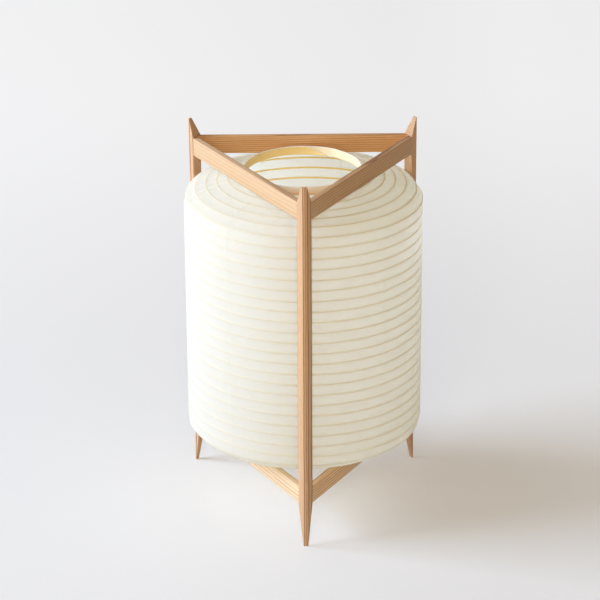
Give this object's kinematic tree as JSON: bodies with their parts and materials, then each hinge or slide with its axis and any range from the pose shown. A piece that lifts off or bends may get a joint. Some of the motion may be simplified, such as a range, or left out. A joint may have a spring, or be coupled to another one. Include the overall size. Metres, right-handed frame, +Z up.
{
  "type": "andon floor lamp",
  "caption": "Three-legged wooden floor lamp with a drum-shaped paper lantern held between its top and bottom rails",
  "frame": {"origin": "on the floor, under the middle of the lamp's outline", "axes": "+Z up, -Y towards the front post, +X to the right as seen from the front"},
  "size_m": [0.2356, 0.249, 0.38],
  "materials": {
    "cypress": "planed and left bare, satin",
    "cypress_bar": "planed and left bare, satin",
    "bamboo_band": "shaved bamboo, satin",
    "bamboo_hoop": "split bamboo, satin",
    "shade_paper": "handmade paper, matt, faintly see-through",
    "zinc_steel": "zinc plated",
    "white_moulding": "moulded, slight gloss",
    "brass_sheet": "drawn brass",
    "solder": "dull solder",
    "black_insulator": "gloss",
    "nickel_cap": "nickel plated, satin",
    "bulb_white": "satin",
    "opal_globe": "opal, satin"
  },
  "bodies": {
    "lamp": {"front_post": "cypress", "rear_left_post": "cypress", "rear_right_post": "cypress", "top_rail_left": "cypress", "top_rail_right": "cypress", "top_rail_rear": "cypress", "bottom_rail_left": "cypress", "bottom_rail_right": "cypress", "bottom_rail_rear": "cypress", "lamp_bar": "cypress_bar", "top_mouth_ring": "bamboo_band", "bottom_mouth_ring": "bamboo_band", "hoop_spiral": "bamboo_hoop", "shade_paper": "shade_paper", "lampholder_bracket": "zinc_steel", "bracket_screws": "zinc_steel", "lampholder_body": "white_moulding", "lampholder_shell": "brass_sheet", "lampholder_contact": "brass_sheet"},
    "bulb_tip": {"bulb_tip": "solder"},
    "bulb": {"bulb_insulator": "black_insulator", "bulb_cap": "nickel_cap", "bulb_housing": "bulb_white", "bulb_globe": "opal_globe"}
  },
  "joints": [
    {"name": "bulb_rise", "type": "slide", "parent": "lamp", "child": "bulb_tip", "axis": [0, 0, 1], "range_m": [0, 0.00988]},
    {"name": "bulb_turn", "type": "hinge", "parent": "bulb_tip", "child": "bulb", "pos_m": [0, 0.0065, 0.08], "axis": [0, 0, 1], "range_deg": [0, 1260]}
  ],
  "couplings": [
    {"joint": "bulb_rise", "follows": "bulb_turn", "m_per_rad": 0.00044914}
  ]
}
